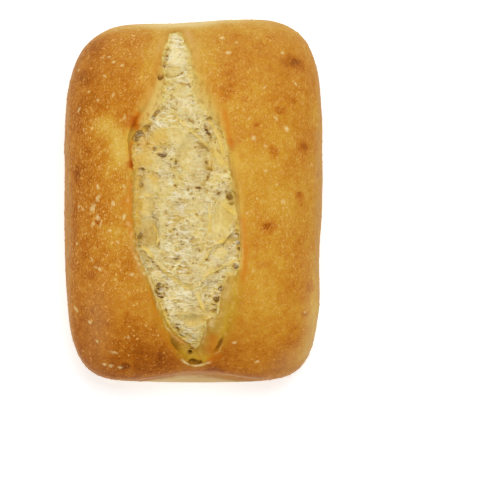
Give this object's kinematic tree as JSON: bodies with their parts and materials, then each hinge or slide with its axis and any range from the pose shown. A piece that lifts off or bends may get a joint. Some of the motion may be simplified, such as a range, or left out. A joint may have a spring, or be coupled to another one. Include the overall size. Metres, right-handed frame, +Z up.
{
  "type": "white bread loaf",
  "caption": "Whole oblong white loaf with a flat base, rounded corners and a domed crust that burst open along its top, showing torn crumb.",
  "frame": {"origin": "on the surface the loaf rests on, under the middle of its bounding box", "axes": "+Z up, +Y along the loaf to its far end, +X to its right-hand side"},
  "size_m": [0.1429, 0.2005, 0.0714],
  "materials": {
    "crust": "golden brown baked crust, low satin sheen, fine pale blisters",
    "crumb": "matt pale cream torn crumb, open cells and stretched strands"
  },
  "bodies": {
    "root": {"loaf": "crust"}
  },
  "joints": []
}
